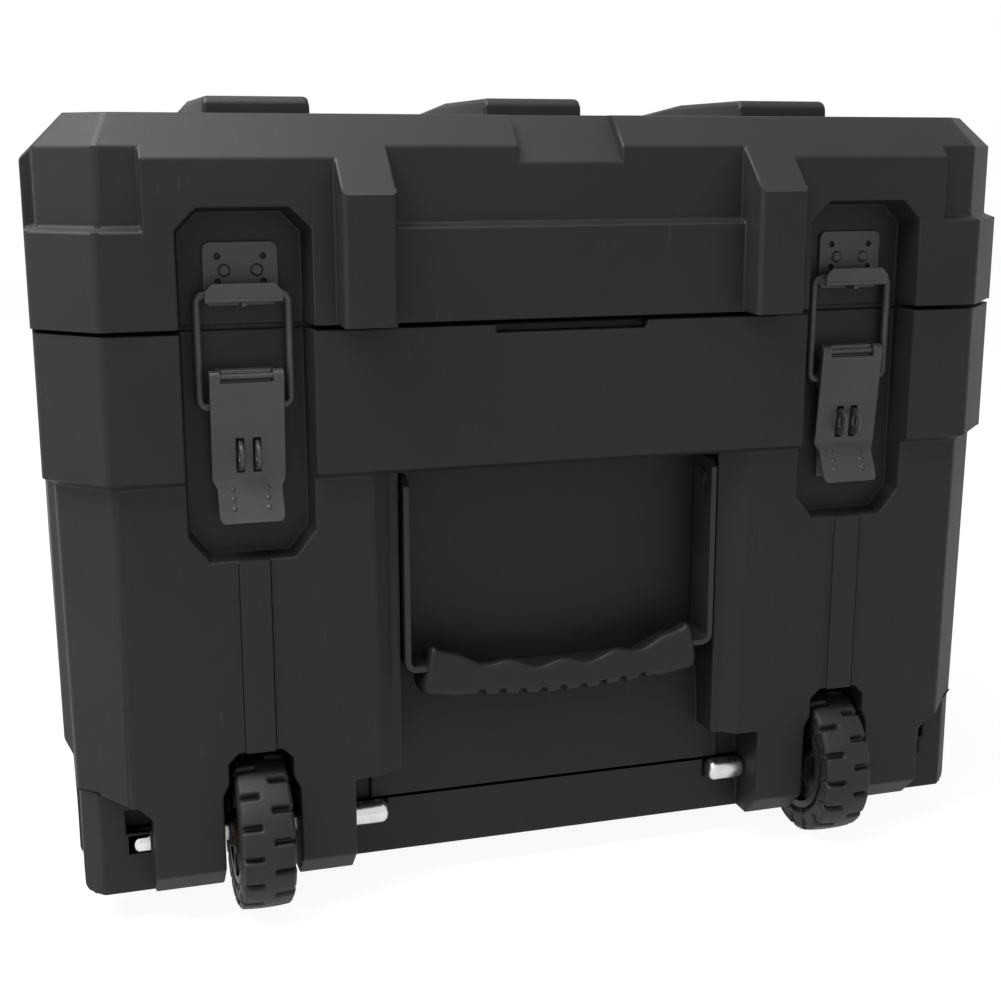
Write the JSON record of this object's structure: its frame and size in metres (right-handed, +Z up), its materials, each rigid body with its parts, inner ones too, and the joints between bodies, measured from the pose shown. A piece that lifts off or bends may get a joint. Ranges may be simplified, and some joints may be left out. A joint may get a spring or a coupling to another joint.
{
  "type": "rolling tool box",
  "caption": "Black moulded rolling tool box with hinged lid, draw latches with padlock loops, swing handles on both ends, knobby wheels and rear feet.",
  "frame": {"origin": "on the floor under the centre of the case", "axes": "+Z up, -Y towards the latch and wheel end, +X to the right seen from that end"},
  "size_m": [0.495, 0.5938, 0.394],
  "materials": {
    "moulded_case": "fine moulded texture, black",
    "seal_rubber": "matte",
    "latch_steel": "dark grey powder coat",
    "tyre_rubber": "moulded rubber",
    "hub_plastic": "satin",
    "bush_bronze": "sintered",
    "zinc_steel": "bright zinc plating",
    "handle_steel": "black powder coat",
    "grip_rubber": "soft moulded",
    "black_steel": "black powder coat",
    "foot_rubber": "matte"
  },
  "bodies": {
    "case": {"base_shell": "moulded_case", "lid_seal": "seal_rubber", "latch_base_left": "latch_steel", "latch_base_right": "latch_steel", "latch_base_rivets_left": "latch_steel", "latch_base_rivets_right": "latch_steel", "padlock_loops_left": "latch_steel", "padlock_loops_right": "latch_steel", "latch_pin_left": "latch_steel", "latch_pin_right": "latch_steel", "axle_left": "zinc_steel", "axle_right": "zinc_steel", "axle_caps_left": "zinc_steel", "axle_caps_right": "zinc_steel", "axle_washers_left": "hub_plastic", "axle_washers_right": "hub_plastic", "front_handle_pins": "black_steel", "rear_handle_pins": "black_steel", "hinge_base_leaf_left": "black_steel", "hinge_base_leaf_right": "black_steel", "hinge_pin_left": "black_steel", "hinge_pin_right": "black_steel", "hinge_base_rivets_left": "black_steel", "hinge_base_rivets_right": "black_steel", "rear_foot_left": "foot_rubber", "rear_foot_right": "foot_rubber", "foot_screws_left": "zinc_steel", "foot_screws_right": "zinc_steel"},
    "lid": {"lid_shell": "moulded_case", "keeper_plate_left": "latch_steel", "keeper_plate_right": "latch_steel", "keeper_rivets_left": "latch_steel", "keeper_rivets_right": "latch_steel", "hinge_lid_leaf_left": "black_steel", "hinge_lid_leaf_right": "black_steel", "hinge_lid_rivets_left": "black_steel", "hinge_lid_rivets_right": "black_steel"},
    "lever_left": {"latch_lever_left": "latch_steel"},
    "lever_right": {"latch_lever_right": "latch_steel"},
    "bail_left": {"latch_bail_left": "latch_steel"},
    "bail_right": {"latch_bail_right": "latch_steel"},
    "wheel_left": {"tyre_left": "tyre_rubber", "wheel_hub_left": "hub_plastic", "wheel_bush_left": "bush_bronze"},
    "wheel_right": {"tyre_right": "tyre_rubber", "wheel_hub_right": "hub_plastic", "wheel_bush_right": "bush_bronze"},
    "front_handle": {"front_handle_bar": "handle_steel", "front_handle_grip": "grip_rubber"},
    "rear_handle": {"rear_handle_bar": "handle_steel", "rear_handle_grip": "grip_rubber"}
  },
  "joints": [
    {"name": "lid_hinge", "type": "hinge", "parent": "case", "child": "lid", "pos_m": [0, 0.2859, 0.29], "axis": [-1, 0, 0], "range_deg": [0, 100]},
    {"name": "lever_pivot_left", "type": "hinge", "parent": "case", "child": "lever_left", "pos_m": [-0.1546, -0.27, 0.268], "axis": [-1, 0, 0], "range_deg": [0, 90]},
    {"name": "bail_pivot_left", "type": "hinge", "parent": "lever_left", "child": "bail_left", "pos_m": [-0.1546, -0.267, 0.254], "axis": [-1, 0, 0], "range_deg": [-71.1, 0]},
    {"name": "wheel_left_spin", "type": "hinge", "parent": "case", "child": "wheel_left", "pos_m": [-0.1546, -0.253, 0.04], "axis": [1, 0, 0], "continuous": true},
    {"name": "lever_pivot_right", "type": "hinge", "parent": "case", "child": "lever_right", "pos_m": [0.1546, -0.27, 0.268], "axis": [-1, 0, 0], "range_deg": [0, 90]},
    {"name": "bail_pivot_right", "type": "hinge", "parent": "lever_right", "child": "bail_right", "pos_m": [0.1546, -0.267, 0.254], "axis": [-1, 0, 0], "range_deg": [-71.1, 0]},
    {"name": "wheel_right_spin", "type": "hinge", "parent": "case", "child": "wheel_right", "pos_m": [0.1546, -0.253, 0.04], "axis": [1, 0, 0], "continuous": true},
    {"name": "front_handle_swing", "type": "hinge", "parent": "case", "child": "front_handle", "pos_m": [0, -0.259, 0.2055], "axis": [-1, 0, 0], "range_deg": [0, 90]},
    {"name": "rear_handle_swing", "type": "hinge", "parent": "case", "child": "rear_handle", "pos_m": [0, 0.259, 0.2055], "axis": [1, 0, 0], "range_deg": [0, 90]}
  ],
  "couplings": [
    {"joint": "bail_pivot_left", "follows": "lever_pivot_left", "ratio": -0.79},
    {"joint": "bail_pivot_right", "follows": "lever_pivot_right", "ratio": -0.79}
  ]
}
